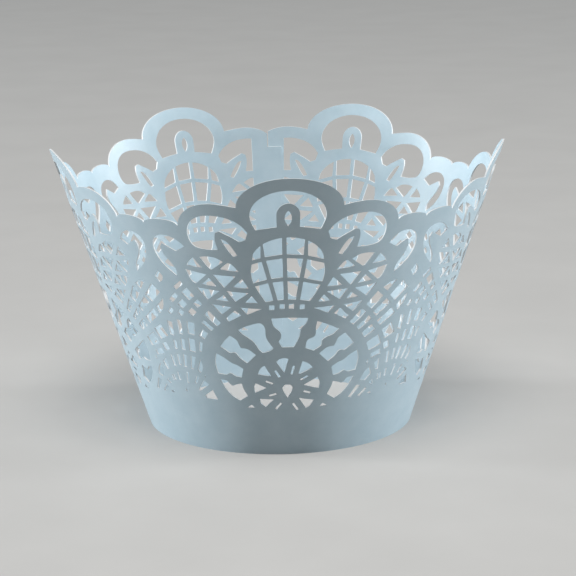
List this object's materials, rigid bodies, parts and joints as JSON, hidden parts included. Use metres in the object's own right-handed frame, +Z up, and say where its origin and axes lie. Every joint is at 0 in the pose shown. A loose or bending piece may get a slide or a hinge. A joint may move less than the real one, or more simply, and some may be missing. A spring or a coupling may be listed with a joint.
{
  "type": "cupcake wrapper",
  "caption": "Open cone of pierced, scalloped card that stands round a cupcake, rolled from one flat sheet.",
  "frame": {"origin": "centre of the bottom edge, on the cone's axis", "axes": "+Z up along the cone's axis; -Y towards the front, where a big arch stands 2.6 degrees to +X; the seam is at the back"},
  "size_m": [0.0838, 0.0832, 0.0539],
  "materials": {
    "card": "pale ice-blue pearl card, laser cut"
  },
  "bodies": {
    "root": {"wrapper": "card"}
  },
  "joints": []
}
